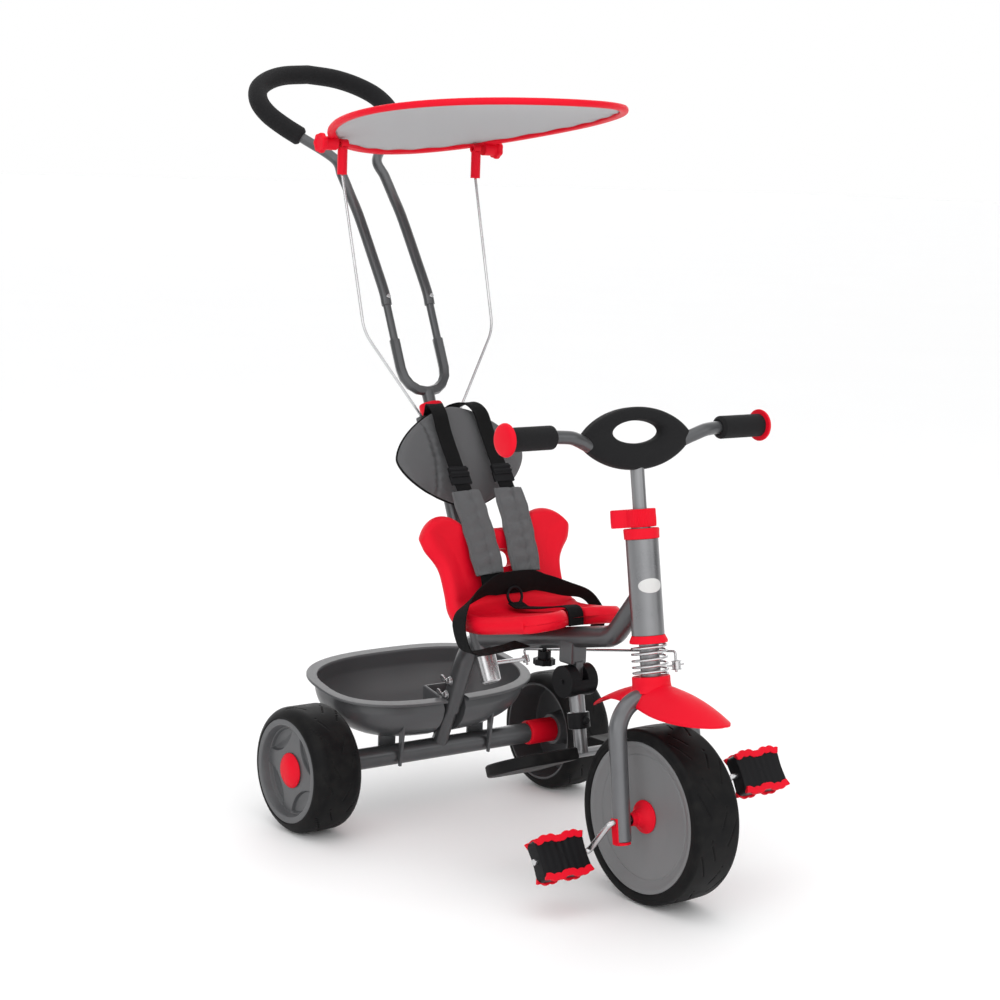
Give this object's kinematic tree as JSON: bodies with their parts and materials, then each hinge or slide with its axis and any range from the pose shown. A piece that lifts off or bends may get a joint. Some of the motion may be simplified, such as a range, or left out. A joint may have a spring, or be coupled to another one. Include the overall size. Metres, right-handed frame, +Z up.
{
  "type": "tricycle",
  "caption": "Child's tricycle with moulded bucket seat, harness, tilting canopy, folding footrest, rear basket and a push bar that steers the front wheel.",
  "frame": {"origin": "centre of the bounding box, on the floor", "axes": "+Z up, -Y forward, +X to the rider's left"},
  "size_m": [0.516, 0.9998, 1.0585],
  "materials": {
    "red_plastic": "satin moulded",
    "black_plastic": "satin moulded",
    "black_rubber": "matt",
    "black_foam": "matt foam skin",
    "grey_disc": "satin moulded",
    "grey_plastic": "satin moulded",
    "grey_paint": "satin metallic paint",
    "silver_paint": "silver metallic paint",
    "chrome": "polished plating",
    "grey_cloth": "woven",
    "canopy_cloth": "woven",
    "black_webbing": "woven"
  },
  "bodies": {
    "frame": {"spine_tube": "grey_paint", "head_tube": "silver_paint", "upper_collar": "red_plastic", "axle_beam": "grey_paint", "axle_shaft": "chrome", "axle_sleeve_left": "red_plastic", "axle_sleeve_right": "red_plastic", "basket": "grey_plastic", "seat_shell": "red_plastic", "headrest": "grey_cloth", "shoulder_strap_left": "black_webbing", "shoulder_strap_right": "black_webbing", "harness_belt": "black_webbing", "canopy_bracket_left": "red_plastic", "canopy_bracket_right": "red_plastic", "canopy_wire_left": "chrome", "canopy_wire_right": "chrome", "post_sleeve": "grey_paint", "post_collar": "red_plastic"},
    "headset": {"lower_collar": "red_plastic", "suspension_spring": "chrome"},
    "fork": {"fork": "grey_paint", "fork_insert_left": "red_plastic", "fork_insert_right": "red_plastic", "fender": "red_plastic", "stem_clamp": "red_plastic"},
    "handlebar": {"handlebar": "grey_paint", "bar_pad": "black_foam", "grip_left": "black_foam", "grip_right": "black_foam", "end_cap_left": "red_plastic", "end_cap_right": "red_plastic"},
    "front_wheel": {"front_tyre": "black_rubber", "front_rim": "grey_disc", "hub_cone_left": "red_plastic", "hub_cone_right": "red_plastic", "crankshaft": "chrome"},
    "pedal_left": {"pedal_left": "black_plastic"},
    "pedal_right": {"pedal_right": "black_plastic"},
    "rear_wheel_left": {"rear_tyre_left": "black_rubber", "rear_rim_left": "grey_plastic", "hub_cap_left": "red_plastic"},
    "rear_wheel_right": {"rear_tyre_right": "black_rubber", "rear_rim_right": "grey_plastic", "hub_cap_right": "red_plastic"},
    "push_bar": {"push_bar_lower": "grey_paint", "push_bar_upper": "grey_paint", "foam_grip": "black_foam", "steering_arm": "chrome"},
    "link_rod": {"link_rod": "chrome"},
    "snap_button_left": {"snap_button_left": "chrome"},
    "snap_button_right": {"snap_button_right": "chrome"},
    "canopy": {"canopy_rim": "red_plastic", "canopy_sheet": "canopy_cloth"},
    "footrest": {"footrest_pivot": "black_plastic", "footrest_post": "silver_paint"},
    "footplate": {"foot_bar": "silver_paint", "foot_pad_left": "black_rubber", "foot_pad_right": "black_rubber"},
    "seat_knob": {"seat_knob": "black_plastic"}
  },
  "joints": [
    {"name": "steer", "type": "hinge", "parent": "frame", "child": "headset", "pos_m": [0, -0.387, 0.113], "axis": [0, 0.1668, 0.986], "range_deg": [-25, 25]},
    {"name": "suspension", "type": "slide", "parent": "headset", "child": "fork", "axis": [0, 0.1668, 0.986], "range_m": [0, 0.005], "stiffness_N_per_m": 8000, "springref_m": -0.01, "deforming": ["suspension_spring"]},
    {"name": "handlebar_height", "type": "slide", "parent": "fork", "child": "handlebar", "axis": [0, 0.1668, 0.986], "range_m": [-0.02, 0.05]},
    {"name": "front_wheel_spin", "type": "hinge", "parent": "fork", "child": "front_wheel", "pos_m": [0, -0.387, 0.113], "axis": [1, 0, 0], "continuous": true},
    {"name": "pedal_left_spin", "type": "hinge", "parent": "front_wheel", "child": "pedal_left", "pos_m": [0.141, -0.41304, 0.15403], "axis": [1, 0, 0], "continuous": true},
    {"name": "pedal_right_spin", "type": "hinge", "parent": "front_wheel", "child": "pedal_right", "pos_m": [-0.141, -0.36096, 0.07197], "axis": [1, 0, 0], "continuous": true},
    {"name": "rear_wheel_left_spin", "type": "hinge", "parent": "frame", "child": "rear_wheel_left", "pos_m": [0, 0.0976, 0.0875], "axis": [1, 0, 0], "continuous": true},
    {"name": "rear_wheel_right_spin", "type": "hinge", "parent": "frame", "child": "rear_wheel_right", "pos_m": [0, 0.0976, 0.0875], "axis": [1, 0, 0], "continuous": true},
    {"name": "push_bar_turn", "type": "hinge", "parent": "frame", "child": "push_bar", "pos_m": [0, -0.0206, 0.218], "axis": [0, 0.4077, 0.9131], "range_deg": [-17, 17]},
    {"name": "link_rod_turn", "type": "hinge", "parent": "push_bar", "child": "link_rod", "pos_m": [0.068, -0.01408, 0.23261], "axis": [0, 0.4077, 0.9131], "range_deg": [-17, 17]},
    {"name": "snap_button_left_press", "type": "slide", "parent": "push_bar", "child": "snap_button_left", "axis": [0, 0.9131, -0.4077], "range_m": [0, 0.0025], "stiffness_N_per_m": 400, "springref_m": -0.002},
    {"name": "snap_button_right_press", "type": "slide", "parent": "push_bar", "child": "snap_button_right", "axis": [0, 0.9131, -0.4077], "range_m": [0, 0.0025], "stiffness_N_per_m": 400, "springref_m": -0.002},
    {"name": "canopy_tilt", "type": "hinge", "parent": "frame", "child": "canopy", "pos_m": [0, 0.207, 0.942], "axis": [1, 0, 0], "range_deg": [-20, 25]},
    {"name": "footrest_fold", "type": "hinge", "parent": "frame", "child": "footrest", "pos_m": [0, -0.207, 0.2496], "axis": [-1, 0, 0], "range_deg": [-60, 0]},
    {"name": "footrest_height", "type": "slide", "parent": "footrest", "child": "footplate", "axis": [0, 0.1994, 0.9799], "range_m": [-0.012, 0.012]},
    {"name": "seat_knob_turn", "type": "hinge", "parent": "frame", "child": "seat_knob", "pos_m": [0, -0.14, 0.2615], "axis": [0, 0, 1], "continuous": true}
  ],
  "couplings": [
    {"joint": "push_bar_turn", "follows": "steer", "ratio": 0.656},
    {"joint": "link_rod_turn", "follows": "steer", "ratio": -0.656}
  ]
}
